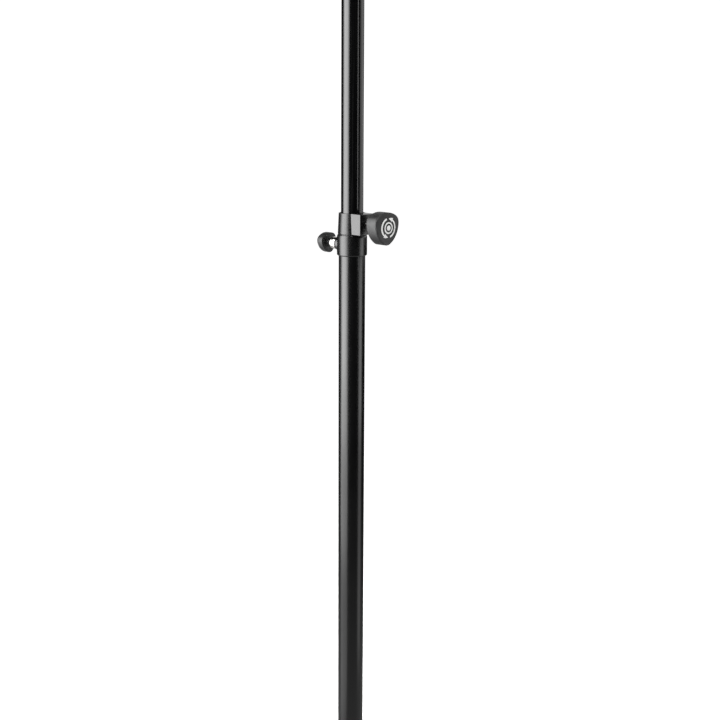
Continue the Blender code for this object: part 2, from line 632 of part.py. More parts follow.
def make_mast(looks):
    wall_top = MAST_TOP - CAP_THICKNESS - GAP
    wall_low = MAST_BOTTOM + FOOT_THICKNESS + GAP
    guide_low = wall_low
    guide_high = guide_low + GUIDE_LENGTH
    ring_low = guide_high + GAP
    grooves = (ring_low, STOP_RING_TOP - RING_THICKNESS)
    groove = INNER_RADIUS - RING_GROOVE
    profile = [(INNER_RADIUS, wall_low)]
    for low in grooves:
        profile += [(INNER_RADIUS, low - GAP / 2), (groove, low - GAP / 2)]
        profile += [(groove, low + RING_THICKNESS + GAP / 2), (INNER_RADIUS, low + RING_THICKNESS + GAP / 2)]
    profile += [(INNER_RADIUS, wall_top), (INNER_BORE, wall_top), (INNER_BORE, wall_low)]
    mast = part("inner_tube", turned(profile, closed=True), looks["mast_black"])
    for k, height in enumerate(hole_heights(), start=1):
        frame = axis_frame(f"axis_hole_{k}", math.pi, height)
        hole = rod(PIN_HOLE_RADIUS, INNER_BORE / 2, INNER_RADIUS + CUT_PAST, TINY)
        cut(mast, f"index_hole_{k}", hole, frame)

    ring_bore = groove + GAP
    for name, low in (("mast_retaining_ring", grooves[0]), ("mast_stop_ring", grooves[1])):
        part(name, split_ring(RING_RADIUS, ring_bore, low, low + RING_THICKNESS), looks["spring_steel"])
    guide = tube(GUIDE_RADIUS, INNER_RADIUS + GAP, guide_low, guide_high, edge=EDGE)
    part("guide_ring", guide, looks["plastic_black"])

    spigot = INNER_BORE - GAP
    profile = [(spigot - CAP_EDGE, MAST_TOP - CAP_SPIGOT), (spigot, MAST_TOP - CAP_SPIGOT + CAP_EDGE)]
    profile += [(spigot, MAST_TOP - CAP_THICKNESS), (INNER_RADIUS, MAST_TOP - CAP_THICKNESS)]
    profile += [(INNER_RADIUS, MAST_TOP - CAP_EDGE), (INNER_RADIUS - CAP_EDGE, MAST_TOP)]
    part("mast_cap", turned(profile), looks["plastic_black"])
    foot_top = MAST_BOTTOM + FOOT_THICKNESS
    spigot_top = foot_top + CAP_SPIGOT
    profile = [(RING_RADIUS - CAP_EDGE, MAST_BOTTOM), (RING_RADIUS, MAST_BOTTOM + CAP_EDGE)]
    profile += [(RING_RADIUS, foot_top), (spigot, foot_top)]
    profile += [(spigot, spigot_top - CAP_EDGE), (spigot - CAP_EDGE, spigot_top)]
    part("mast_foot", turned(profile, SMALL), looks["plastic_black"])


# ---------------------------------------------------------------- build

def make_looks():
    return {
        "tube_black": material("tube_black", (0.018, 0.018, 0.019), 0.42, 0.0),
        "mast_black": material("mast_black", (0.012, 0.012, 0.013), 0.22, 0.0),
        "casting_black": material("casting_black", (0.022, 0.022, 0.023), 0.38, 0.0),
        "plastic_black": material("plastic_black", (0.030, 0.030, 0.031), 0.45, 0.0),
        "rubber": material("rubber", (0.020, 0.020, 0.020), 0.80, 0.0),
        "rivet_black": material("rivet_black", (0.020, 0.020, 0.021), 0.35, 0.0),
        "blackened_steel": material("blackened_steel", (0.040, 0.040, 0.042), 0.35, 1.0),
        "bare_steel": material("bare_steel", (0.560, 0.570, 0.580), 0.30, 1.0),
        "zinc": material("zinc", (0.620, 0.630, 0.640), 0.35, 1.0),
        "nickel": material("nickel", (0.760, 0.750, 0.740), 0.18, 1.0),
        "spring_steel": material("spring_steel", (0.500, 0.510, 0.520), 0.28, 1.0),
    }


def main():
    for old in list(bpy.data.objects):
        bpy.data.objects.remove(old)
    looks = make_looks()
    clamp_axis = axis_frame("axis_clamp", 0.0, CLAMP_Z)
    index_axis = axis_frame("axis_index", math.pi, INDEX_Z)
    outer_tube = make_outer_tube(looks)
    tube_hole = rod(PIN_HOLE_RADIUS, INNER_RADIUS, OUTER_RADIUS + CUT_PAST)
    cut(outer_tube, "tube_index_hole", tube_hole, index_axis)
    plug = make_base(looks)
    head = make_head(looks, clamp_axis)
    make_liner(looks, clamp_axis)
    collar = make_collar(looks, index_axis)
    make_rivets(looks, outer_tube, head, collar, plug)
    make_clamp(looks, clamp_axis)
    make_index_bolt(looks, index_axis)
    make_mast(looks)


main()
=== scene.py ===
"""Looks for the telescopic speaker pole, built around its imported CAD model.

Places come from the CAD nodes' boxes. Sizes of shapes that a box doesn't give are named here, in metres.
"""

import json
import math

import bmesh
import bpy
from mathutils import Matrix, Quaternion, Vector


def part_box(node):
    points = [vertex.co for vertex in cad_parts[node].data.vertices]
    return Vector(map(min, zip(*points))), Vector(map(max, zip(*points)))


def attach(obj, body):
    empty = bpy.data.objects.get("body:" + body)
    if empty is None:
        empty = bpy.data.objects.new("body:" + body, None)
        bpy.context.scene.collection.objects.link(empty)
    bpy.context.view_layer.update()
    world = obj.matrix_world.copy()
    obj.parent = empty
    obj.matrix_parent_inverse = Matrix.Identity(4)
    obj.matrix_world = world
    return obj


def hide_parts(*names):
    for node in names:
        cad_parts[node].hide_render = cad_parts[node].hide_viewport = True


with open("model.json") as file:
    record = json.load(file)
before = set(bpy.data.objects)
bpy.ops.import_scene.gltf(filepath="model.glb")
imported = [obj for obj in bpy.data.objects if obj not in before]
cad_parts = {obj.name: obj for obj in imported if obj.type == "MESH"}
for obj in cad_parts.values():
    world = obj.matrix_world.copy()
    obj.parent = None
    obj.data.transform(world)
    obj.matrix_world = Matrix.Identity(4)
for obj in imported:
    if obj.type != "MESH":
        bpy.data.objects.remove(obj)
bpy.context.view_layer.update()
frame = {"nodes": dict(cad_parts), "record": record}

BODY_OF = {node: body for body, nodes in frame["record"]["behaviour"]["bodies"].items() for node in nodes}

# clearances
GAP = 0.0003              # between pieces that touch, slide or thread together
LOOSE = 0.0005
CUT_PAST = 0.005          # how far a cutter runs past the surface it cuts

# roundings of edges
HAIRLINE = 0.0001
FINE = 0.0002
BROKEN = 0.0003
EASED = 0.0004
SOFT = 0.0006
WIDE = 0.0008

# tubes and the mast's cap
TUBE_WALL = 0.0015
RING_GROOVE = 0.0007
HOLE_PITCH = 0.060
HOLES_FROM_RING = 0.015
HOLES_FROM_TOP = 0.080
MOST_HOLES = 20           # on either side of the index pin
CAP_EDGE = 0.0009
CAP_DISH = 0.0007
DISH_RADIUS = 0.0075
GATE_RADIUS = 0.0012      # of the moulding mark in the middle of the cap

# base
PLUG_CENTRE = 0.001       # radius of the middle of the plug's turned faces
STUD_RADIUS = 0.010
STUD_PITCH = 0.0025
THREAD_DEPTH = 0.58       # of the pitch
THREAD_FLANK = 1.15       # above 1 it leaves the thread a flat crest
STUD_POINT = 0.0012
STUD_END_RADIUS = STUD_RADIUS - 0.0035
STUD_CONE_RADIUS = STUD_RADIUS - 0.0016
WASHER_EDGE = 0.0007

# clamp head, collar and liner
HEAD_TAPER = 0.0014
HEAD_EDGE = 0.0007
SEAM_EDGE = 0.0009
BLOCK_WIDTH = 0.0325
BLOCK_LIFT = 0.0012       # of the block's underside above the seam
COLLAR_SHOULDER = 0.005
COLLAR_FILLET = 0.0024
COLLAR_EDGE = 0.0006
BOSS_RADIUS = 0.0108
LINER_WALL = 0.0013
WINDOW_RADIUS = 0.007     # of the liner's opening for the clamp pad

# clamp screw and knob
SCREW_RADIUS = 0.005
SCREW_ROOT = SCREW_RADIUS - 0.0009
SCREW_PITCH = 0.0015
TIP_RADIUS = 0.003
TIP_LENGTH = 0.0034
HUB_RADIUS = 0.0075
HUB_LENGTH = 0.0077
INSERT_RADIUS = 0.0078
INSERT_NECK_RADIUS = 0.0062
INSERT_NECK_LENGTH = 0.0028
KNOB_SIDE = 0.0239        # side of the triangle whose corners the arcs turn about
KNOB_CORNER = 0.0133      # radius of the three lobes
KNOB_WALL = 0.0032
KNOB_FLOOR = 0.005
KNOB_EDGE = 0.0018
KNOB_LIP = 0.0003
COVER_SKIRT = 0.003
COVER_STEP = 0.0002       # the seam line between the cup and its cover
COVER_EDGE = 0.0017
COVER_SWEEP = math.radians(78)
ARROW_RADIUS = 0.0142
ARROW_LINE = 0.0027
ARROW_SWEEP = math.radians(128)
ARROW_HEAD = 0.0034
ARROW_HEAD_SWEEP = math.radians(34)
EMBLEM_TURN = math.radians(15)
EMBLEM_CIRCLES = ((0.0068, 0.0090, 48), (0.0002, 0.0040, 24))   # inner radius, outer radius, points
PRINT_LIFT = 0.00012
PRINT_SINK = 0.0004

# index bolt
SLEEVE_RADIUS = 0.008
SLEEVE_REACH = 0.0033
SLEEVE_BORE = 0.0066
HOUSING_WALL = 0.003
HOUSING_EDGE = 0.0010
LINE_START = 0.0034       # of the turned line near the housing's front
LINE_END = 0.0023
LINE_DEPTH = 0.0004
PIN_RADIUS = 0.004
PIN_POINT = 0.0012
PIN_CENTRE = 0.0008       # radius of the middle of the pin's end faces
PIN_SHAFT_RADIUS = 0.003
PIN_SHOULDER_RADIUS = 0.0062
PIN_SHOULDER_LENGTH = 0.002
PIN_DROP = 0.003
ROLL_PIN_RADIUS = 0.00125
INDEX_KNOB_SIDE = 0.0150
INDEX_KNOB_CORNER = 0.0084
INDEX_KNOB_TURN = math.radians(-12)
INDEX_KNOB_EDGE = 0.0016
INDEX_CROWN = 0.0004
INDEX_NECK_RADIUS = 0.0065
INDEX_NECK_LENGTH = 0.006

# rivets
RIVET_RADIUS = 0.002
RIVET_SHANK = 0.002
RIVET_HEAD_RADIUS = 0.0036
RIVET_HEAD_HEIGHT = 0.0012
RIVET_DIP_RADIUS = 0.0013
RIVET_DIP = 0.0006
RIVET_PIN_RADIUS = 0.0009
REAR_RIVET_ANGLES = (math.radians(80), math.radians(130))

# smoothness, as points around a shape, and the angle above which an edge stays sharp
ROUND = 160
CAST = 128
HOUSING_POINTS = 96
SMALL = 64
TINY = 32
SHARP = math.radians(35)

ALONG_POLE = Matrix.Identity(4)


def low(node):
    return Vector(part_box(node)[0])


def high(node):
    return Vector(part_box(node)[1])


def middle(node):
    return (low(node) + high(node)) / 2


def sideways(angle, height):
    """A frame whose Z axis points level and outward from the pole, and whose X axis points down."""
    around = Matrix.Rotation(angle, 4, 'Z')
    return Matrix.Translation((0, 0, height)) @ around @ Matrix.Rotation(math.pi / 2, 4, 'Y')


# ---------------------------------------------------------------- shapes

def rounded(corners, steps=4):
    """A closed outline from (radius, height, rounding) corners: each rounding above 0 becomes an arc."""
    out = []
    for i, (x, y, radius) in enumerate(corners):
        here = Vector((x, y))
        if radius == 0:
            out.append(here)
            continue
        before = (Vector(corners[i - 1][:2]) - here).normalized()
        after = (Vector(corners[(i + 1) % len(corners)][:2]) - here).normalized()
        half = before.angle(after) / 2
        centre = here + (before + after).normalized() * radius / math.sin(half)
        start = here + before * radius / math.tan(half) - centre
        end = here + after * radius / math.tan(half) - centre
        sweep = start.angle(end)
        for k in range(steps + 1):
            t = k / steps
            spoke = start * math.sin((1 - t) * sweep) + end * math.sin(t * sweep)
            out.append(centre + spoke / math.sin(sweep))
    return out


def ring(radius, height, count):
    return [Vector((radius * math.cos(a), radius * math.sin(a), height))
            for a in (math.tau * i / count for i in range(count))]


def lobed_ring(side, corner, height, turn=0.0, points=20):
    """A rounded three-lobed outline of constant width, with its first lobe at the angle turn."""
    centre_distance = side / math.sqrt(3)
    out = []
    for k in range(3):
        lobe = turn + k * math.tau / 3
        opposite = lobe + math.pi / 3
        arcs = ((lobe, corner, lobe), (opposite + math.pi, side + corner, opposite))
        for centre_angle, radius, facing in arcs:
            centre = Vector((math.cos(centre_angle), math.sin(centre_angle), 0)) * centre_distance
            for i in range(points):
                a = facing + math.radians(60) * (i / points - 0.5)
                edge = centre + radius * Vector((math.cos(a), math.sin(a), 0))
                out.append(Vector((edge.x, edge.y, height)))
    return out


def circle_like(outline, radius, height):
    """A circle whose points lie in the same directions as the outline's points."""
    return [Vector((p.x, p.y, 0)).normalized() * radius + Vector((0, 0, height)) for p in outline]


def loft(rows, closed=False):
    """Skin a row of rings: closed joins the last to the first, else both ends are capped with a fan."""
    bm = bmesh.new()
    made = [[bm.verts.new(p) for p in row] for row in rows]
    count = len(made[0])
    pairs = list(zip(made, made[1:])) + ([(made[-1], made[0])] if closed else [])
    for near, far in pairs:
        for i in range(count):
            j = (i + 1) % count
            bm.faces.new((near[i], near[j], far[j], far[i]))
    if not closed:
        for row in (made[0], made[-1]):
            hub = bm.verts.new(sum((v.co for v in row), Vector()) / count)
            for i in range(count):
                bm.faces.new((row[i], row[(i + 1) % count], hub))
    bmesh.ops.recalc_face_normals(bm, faces=bm.faces)
    return bm


def turned(corners, count=ROUND, closed=True):
    """A solid of revolution about Z from (radius, height, rounding) corners."""
    return loft([ring(p.x, p.y, count) for p in rounded(corners)], closed)


def threaded(radius, pitch, start, end):
    """The rings of a rod with a helical V thread whose ends run out to the root."""
    count, rows_per_turn = SMALL, 10
    depth = THREAD_DEPTH * pitch
    rows = []
    steps = int((end - start) / pitch * rows_per_turn)
    for s in range(steps + 1):
        z = start + (end - start) * s / steps
        runout = min(z - start, end - z)
        row = []
        for i in range(count):
            turn = i / count
            phase = (z / pitch - turn) % 1.0
            tooth = min(1.0, max(0.0, THREAD_FLANK * (1 - abs(2 * phase - 1))))
            r = min(radius - depth * (1 - tooth), radius - depth + runout)
            row.append(Vector((r * math.cos(math.tau * turn), r * math.sin(math.tau * turn), z)))
        rows.append(row)
    return rows


def block(x_low, x_high, width, z_low, z_high):
    """A box that is centred across Y."""
    bm = bmesh.new()
    bmesh.ops.create_cube(bm, size=1.0)
    for v in bm.verts:
        v.co.x = x_high if v.co.x > 0 else x_low
        v.co.y *= width
        v.co.z = z_high if v.co.z > 0 else z_low
    return bm


# ---------------------------------------------------------------- objects

def piece(name, bm, look, place=ALONG_POLE):
    """One object at the origin whose vertices are already in their place."""
    bm.transform(place)
    mesh = bpy.data.meshes.new(name)
    bm.to_mesh(mesh)
    bm.free()
    mesh.shade_smooth()
    mesh.set_sharp_from_angle(angle=SHARP)
    made = bpy.data.objects.new(name, mesh)
    bpy.context.collection.objects.link(made)
    if look is not None:
        mesh.materials.append(look)
    return made


def smooth(made, sharp=SHARP):
    """Shade a changed mesh smoothly again, except across its sharp edges."""
    made.data.shade_smooth()
    made.data.set_sharp_from_angle(angle=sharp)


def apply_modifiers(made):
    """Replace an object's mesh by what its modifiers make of it."""
    graph = bpy.context.evaluated_depsgraph_get()
    mesh = bpy.data.meshes.new_from_object(made.evaluated_get(graph))
    made.modifiers.clear()
    made.data = mesh


def carve(made, tools):
    """Apply (operation, bmesh, place) steps to an object, in order."""
    guides = []
    for operation, bm, place in tools:
        guide = piece("guide", bm, None, place)
        step = made.modifiers.new("carve", 'BOOLEAN')
        step.operation = operation
        step.solver = 'EXACT'
        step.object = guide
        guides.append(guide)
    apply_modifiers(made)
    for guide in guides:
        bpy.data.objects.remove(guide)


def soften(made, width):
    """Round every sharp edge, then shade smoothly across the rounding."""
    bm = bmesh.new()
    bm.from_mesh(made.data)
    bmesh.ops.remove_doubles(bm, verts=bm.verts, dist=0.00002)
    bmesh.ops.dissolve_limit(bm, angle_limit=math.radians(0.5), verts=bm.verts, edges=bm.edges)
    bm.to_mesh(made.data)
    bm.free()
    bevel = made.modifiers.new("soften", 'BEVEL')
    bevel.width = width
    bevel.segments = 3
    bevel.limit_method = 'ANGLE'
    bevel.angle_limit = math.radians(38)
    bevel.use_clamp_overlap = True
    apply_modifiers(made)
    smooth(made, math.radians(40))


def stand_for(made, slot, *nodes):
    """The piece replaces CAD nodes and moves with their body."""
    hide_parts(*nodes)
    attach(made, BODY_OF[nodes[0]])
    return made


# ---------------------------------------------------------------- materials

class Look:
    """A procedural material under construction, with its pattern laid out in the object's own metres."""

    def __init__(self, name, colour, roughness, metallic=0.0):
        self.material = bpy.data.materials.new("look_" + name)
        self.material.use_nodes = True
        self.tree = self.material.node_tree
        self.shader = self.tree.nodes["Principled BSDF"]
        self.colour = colour
        self.put("Base Color", (*colour, 1.0))
        self.put("Roughness", roughness)
        self.put("Metallic", metallic)
        self.put("IOR", 1.5)
        self.place = self.node("ShaderNodeTexCoord").outputs["Object"]
        self.relief = None

    def put(self, socket, value):
        self.shader.inputs[socket].default_value = value

    def node(self, kind, **settings):
        made = self.tree.nodes.new(kind)
        for key, value in settings.items():
            if hasattr(made, key):
                setattr(made, key, value)
            else:
                made.inputs[key].default_value = value
        return made

    def link(self, out, socket):
        self.tree.links.new(out, socket)

    def noise(self, scale, stretch=(1, 1, 1), detail=3.0, shift=0.0):
        mapping = self.node("ShaderNodeMapping", Scale=stretch, Location=(shift, shift, shift))
        self.link(self.place, mapping.inputs["Vector"])
        made = self.node("ShaderNodeTexNoise", Scale=scale, Detail=detail)
        self.link(mapping.outputs["Vector"], made.inputs["Vector"])
        return made.outputs["Fac"]

    def cells(self, scale):
        made = self.node("ShaderNodeTexVoronoi", Scale=scale)
        self.link(self.place, made.inputs["Vector"])
        return made.outputs["Distance"]

    def spread(self, value, low_in, high_in, low_out, high_out):
        made = self.node("ShaderNodeMapRange")
        limits = {"From Min": low_in, "From Max": high_in, "To Min": low_out, "To Max": high_out}
        for socket, number in limits.items():
            made.inputs[socket].default_value = number
        self.link(value, made.inputs["Value"])
        return made.outputs["Result"]

    def math(self, operation, first, second):
        made = self.node("ShaderNodeMath", operation=operation)
        for socket, value in zip(made.inputs, (first, second)):
            if isinstance(value, (int, float)):
                socket.default_value = value
            else:
                self.link(value, socket)
        return made.outputs["Value"]

    def vary_colour(self, factor, other):
        """Blend from the base colour to another one by a 0 to 1 factor."""
        made = self.node("ShaderNodeMix", data_type='RGBA')
        made.inputs["A"].default_value = (*self.colour, 1.0)
        made.inputs["B"].default_value = (*other, 1.0)
        self.link(factor, made.inputs["Factor"])
        self.link(made.outputs["Result"], self.shader.inputs["Base Color"])

    def vary_roughness(self, value):
        self.link(value, self.shader.inputs["Roughness"])

    def bump(self, value, depth):
        """Add relief of a depth in metres under whatever relief there is already."""
        made = self.node("ShaderNodeBump", Distance=depth, Strength=1.0)
        self.link(value, made.inputs["Height"])
        if self.relief is not None:
            self.link(self.relief, made.inputs["Normal"])
        self.relief = made.outputs["Normal"]
        self.link(self.relief, self.shader.inputs["Normal"])


def make_looks():
    looks = {}

    powder = Look("powder_coat", (0.0014, 0.0014, 0.0015), 0.25)
    powder.vary_roughness(powder.spread(powder.noise(60, (1, 1, 0.2)), 0.3, 0.7, 0.23, 0.27))
    powder.vary_colour(powder.spread(powder.noise(25), 0.35, 0.75, 0, 1), (0.0022, 0.0022, 0.0023))
    powder.bump(powder.noise(900, detail=2), 0.000004)
    looks["tube_black"] = powder.material

    gloss = Look("mast_gloss", (0.0012, 0.0012, 0.0013), 0.14)
    rub = gloss.noise(700, (1, 1, 0.008), detail=2)
    patches = gloss.noise(18, (1, 1, 0.3), shift=3)
    rubbed = gloss.spread(rub, 0.55, 0.72, 0, 1)
    worn = gloss.math('MULTIPLY', rubbed, gloss.spread(patches, 0.45, 0.7, 0, 1))
    gloss.vary_roughness(gloss.spread(worn, 0, 1, 0.14, 0.24))
    gloss.vary_colour(worn, (0.010, 0.010, 0.010))
    gloss.bump(rub, 0.0000015)
    gloss.bump(gloss.noise(350, detail=1), 0.000003)
    looks["mast_black"] = gloss.material

    casting = Look("casting_paint", (0.0014, 0.0014, 0.0015), 0.28)
    casting.vary_roughness(casting.spread(casting.noise(220), 0.3, 0.7, 0.25, 0.31))
    casting.vary_colour(casting.spread(casting.noise(90), 0.4, 0.75, 0, 1), (0.0024, 0.0024, 0.0025))
    casting.bump(casting.noise(260, detail=1), 0.000012)
    casting.bump(casting.noise(1300, detail=3), 0.000005)
    looks["casting_black"] = casting.material

    plastic = Look("moulded_plastic", (0.0022, 0.0022, 0.0023), 0.50)
    plastic.vary_roughness(plastic.spread(plastic.noise(300), 0.3, 0.7, 0.46, 0.56))
    plastic.vary_colour(plastic.spread(plastic.noise(120), 0.4, 0.8, 0, 1), (0.0038, 0.0038, 0.0040))
    plastic.bump(plastic.cells(2200), 0.000012)
    looks["plastic_black"] = plastic.material

    paint = Look("white_print", (0.80, 0.80, 0.79), 0.45)
    paint.vary_colour(paint.spread(paint.noise(700), 0.55, 0.8, 0, 1), (0.62, 0.62, 0.61))
    paint.bump(paint.cells(2600), 0.00001)
    looks["white_print"] = paint.material

    rubber = Look("rubber", (0.014, 0.014, 0.014), 0.75)
    rubber.vary_roughness(rubber.spread(rubber.noise(500), 0.3, 0.7, 0.65, 0.85))
    rubber.vary_colour(rubber.spread(rubber.noise(160), 0.4, 0.7, 0, 1), (0.026, 0.026, 0.026))
    rubber.bump(rubber.noise(1800, detail=4), 0.00002)
    looks["rubber"] = rubber.material

    rivet = Look("rivet_paint", (0.008, 0.008, 0.0085), 0.30)
    rivet.vary_roughness(rivet.spread(rivet.noise(700), 0.3, 0.7, 0.24, 0.38))
    rivet.vary_colour(rivet.spread(rivet.noise(900), 0.55, 0.75, 0, 1), (0.05, 0.05, 0.05))
    rivet.bump(rivet.noise(1400), 0.00001)
    looks["rivet_black"] = rivet.material

    def metal(name, colour, other, roughness, scale, stretch=(1, 1, 1), depth=0.000002):
        made = Look(name, colour, roughness, metallic=1.0)
        marks = made.noise(scale, stretch, detail=4)
        made.vary_roughness(made.spread(marks, 0.3, 0.7, roughness * 0.8, roughness * 1.35))
        made.vary_colour(made.spread(made.noise(scale / 8), 0.35, 0.75, 0, 1), other)
        made.bump(marks, depth)
        return made.material

    looks["blackened_steel"] = metal("blackened_steel", (0.045, 0.045, 0.048), (0.09, 0.085, 0.08),
                                     0.34, 900)
    looks["bare_steel"] = metal("turned_steel", (0.54, 0.55, 0.56), (0.42, 0.42, 0.42),
                                0.26, 2200, (0.1, 0.1, 1))
    looks["zinc"] = metal("zinc_plate", (0.60, 0.61, 0.62), (0.46, 0.47, 0.47), 0.30, 500)
    looks["nickel"] = metal("nickel_plate", (0.78, 0.76, 0.73), (0.66, 0.64, 0.62),
                            0.13, 1500, depth=0.000001)
    looks["spring_steel"] = metal("spring_steel", (0.45, 0.46, 0.47), (0.30, 0.30, 0.31), 0.26, 1200)
    return looks


looks = make_looks()


# ---------------------------------------------------------------- tubes, castings, rivets and ends

def make_tubes():
    radius = high("outer_tube").x
    bore = high("guide_ring").y + GAP
    bottom, top = low("outer_tube").z, high("outer_tube").z
    corners = [(radius, bottom, BROKEN), (radius, top, BROKEN), (bore, top, BROKEN), (bore, bottom, BROKEN)]
    tube = piece("outer_tube_painted", turned(corners), looks["tube_black"])
    stand_for(tube, "tube_black", "outer_tube")

    radius = high("inner_tube").x
    bore = radius - TUBE_WALL
    bottom, top = low("inner_tube").z, high("inner_tube").z
    groove = radius - RING_GROOVE
    corners = [(radius, bottom, 0)]
    for name in ("mast_retaining_ring", "mast_stop_ring"):
        start, end = low(name).z - GAP / 2, high(name).z + GAP / 2
        corners += [(radius, start, 0), (groove, start, 0), (groove, end, 0), (radius, end, 0)]
    corners += [(radius, top, BROKEN), (bore, top, 0), (bore, bottom, 0)]
    mast = piece("mast_tube_painted", turned(corners), looks["mast_black"])
    lowest = high("mast_stop_ring").z + HOLES_FROM_RING
    highest = high("mast_cap").z - HOLES_FROM_TOP
    hole = [(PIN_RADIUS + GAP, bore / 2, 0), (PIN_RADIUS + GAP, radius + CUT_PAST, 0)]
    heights = [middle("index_pin").z + HOLE_PITCH * (k + 0.5) for k in range(-MOST_HOLES, MOST_HOLES)]
    carve(mast, [('DIFFERENCE', turned(hole, TINY, closed=False), sideways(math.pi, height))
                 for height in heights if lowest < height < highest])
    smooth(mast)
    stand_for(mast, "mast_black", "inner_tube")


def make_head(bore, clamp):
    """The cast head around the mast, with the block that the clamp screw runs through."""
    seam, top, end = high("collar").z, high("clamp_head").z, high("clamp_head").x
    wide = high("clamp_head").y
    start, step = seam + GAP, high("outer_tube").z + GAP
    liner = high("inner_tube").x + GAP + LINER_WALL + GAP
    corners = [(wide, start, SEAM_EDGE), (wide - HEAD_TAPER, top, 0), (liner, top, 0)]
    corners += [(liner, step, 0), (bore, step, 0), (bore, start, 0)]
    head = piece("clamp_head_cast", turned(corners, CAST), looks["casting_black"])

    solid = block(0.0, end, BLOCK_WIDTH, seam + BLOCK_LIFT, top)
    corners = [(bore, start - CUT_PAST, 0), (bore, step, 0), (liner, step, 0), (liner, top + CUT_PAST, 0)]
    tube_space = turned(corners, CAST, closed=False)
    pocket, neck = INSERT_RADIUS + GAP, INSERT_NECK_RADIUS + GAP
    pocket_end = end - INSERT_NECK_LENGTH + GAP
    corners = [(pocket, bore / 2, 0), (pocket, pocket_end, 0)]
    corners += [(neck, pocket_end, 0), (neck, end + CUT_PAST, 0)]
    screw_space = turned(corners, SMALL, closed=False)
    carve(head, [('UNION', solid, ALONG_POLE), ('DIFFERENCE', tube_space, ALONG_POLE),
                 ('DIFFERENCE', screw_space, clamp)])
    soften(head, HEAD_EDGE)
    stand_for(head, "casting_black", "clamp_head")


def make_collar(bore, index):
    """The cast collar below the seam: a round shoulder, a rounded foot and the boss of the index bolt."""
    seam, bottom = high("collar").z, low("collar").z
    narrow, wide = high("clamp_head").y, high("collar").y
    edge = SEAM_EDGE / 4
    outline = [(narrow - SEAM_EDGE, seam), (narrow - edge, seam - edge), (narrow, seam - SEAM_EDGE)]
    for i in range(2, 9):
        t = i / 8
        outline.append((narrow + (wide - narrow) * math.sin(t * math.pi / 2), seam - COLLAR_SHOULDER * t))
    for i in range(9):
        a = i * math.pi / 16
        inward, upward = COLLAR_FILLET * (1 - math.cos(a)), COLLAR_FILLET * (1 - math.sin(a))
        outline.append((wide - inward, bottom + upward))
    outline += [(bore, bottom), (bore, seam)]
    collar = piece("collar_cast", turned([(r, z, 0) for r, z in outline], CAST), looks["casting_black"])

    boss_end = -low("collar").x
    boss = turned([(BOSS_RADIUS, bore + LOOSE, 0), (BOSS_RADIUS, boss_end, 0)], SMALL, closed=False)
    hole, sleeve = PIN_RADIUS + GAP, SLEEVE_RADIUS + GAP
    floor = high("outer_tube").x + SLEEVE_REACH - GAP
    corners = [(hole, bore / 2, 0), (hole, floor, 0), (sleeve, floor, 0), (sleeve, boss_end + CUT_PAST, 0)]
    pin_space = turned(corners, SMALL, closed=False)
    corners = [(bore, bottom - CUT_PAST, 0), (bore, seam + CUT_PAST, 0)]
    tube_space = turned(corners, CAST, closed=False)
    carve(collar, [('UNION', boss, index), ('DIFFERENCE', tube_space, ALONG_POLE),
                   ('DIFFERENCE', pin_space, index)])
    soften(collar, COLLAR_EDGE)
    stand_for(collar, "casting_black", "collar")


def make_liner(clamp):
    """The moulded bush in the head, with a window for the clamp pad."""
    inner = high("inner_tube").x + GAP
    outer = inner + LINER_WALL
    bottom, top = low("liner_bush").z, high("liner_bush").z
    corners = [(outer, bottom, HAIRLINE), (outer, top, FINE), (inner, top, LOOSE), (inner, bottom, HAIRLINE)]
    bush = piece("liner_bush_moulded", turned(corners), looks["plastic_black"])
    corners = [(WINDOW_RADIUS, inner / 2, 0), (WINDOW_RADIUS, high("clamp_head").x, 0)]
    carve(bush, [('DIFFERENCE', turned(corners, SMALL, closed=False), clamp)])
    smooth(bush)
    stand_for(bush, "plastic_black", "liner_bush")


def make_castings():
    bore = high("outer_tube").x + GAP
    clamp = sideways(0.0, middle("clamp_spindle").z)
    make_head(bore, clamp)
    make_collar(bore, sideways(math.pi, middle("index_pin").z))
    make_liner(clamp)


def make_rivets():
    """Pulled rivets: a low dome with the broken end of its steel pin in the middle."""
    surface = {"head": high("clamp_head").y, "collar": high("collar").y, "base": high("outer_tube").x}
    sets = []
    for k, angle in enumerate(REAR_RIVET_ANGLES, start=1):
        sets += [(f"head_rivet_{k}", angle), (f"collar_rivet_{k}", angle)]
    sets += [("base_rivet_1", math.pi / 2), ("base_rivet_2", -math.pi / 2)]
    for name, angle in sets:
        under = surface[name.split("_")[0]] + GAP
        crown = under + RIVET_HEAD_HEIGHT
        corners = [(RIVET_RADIUS, under - RIVET_SHANK, 0), (RIVET_RADIUS, under, 0)]
        corners.append((RIVET_HEAD_RADIUS, under, HAIRLINE))
        for i in range(1, 6):
            a = i * math.pi / 14
            corners.append((RIVET_HEAD_RADIUS * math.cos(a), under + RIVET_HEAD_HEIGHT * math.sin(a), 0))
        dip = crown - RIVET_DIP
        corners += [(RIVET_DIP_RADIUS, crown - HAIRLINE, HAIRLINE), (RIVET_DIP_RADIUS - FINE, dip, 0)]
        corners += [(RIVET_PIN_RADIUS, dip, 0), (RIVET_PIN_RADIUS, dip + BROKEN, HAIRLINE)]
        place = sideways(angle, middle(name).z)
        made = piece(name + "_pulled", turned(corners, TINY, closed=False), looks["rivet_black"], place)
        stand_for(made, "rivet_black", name)


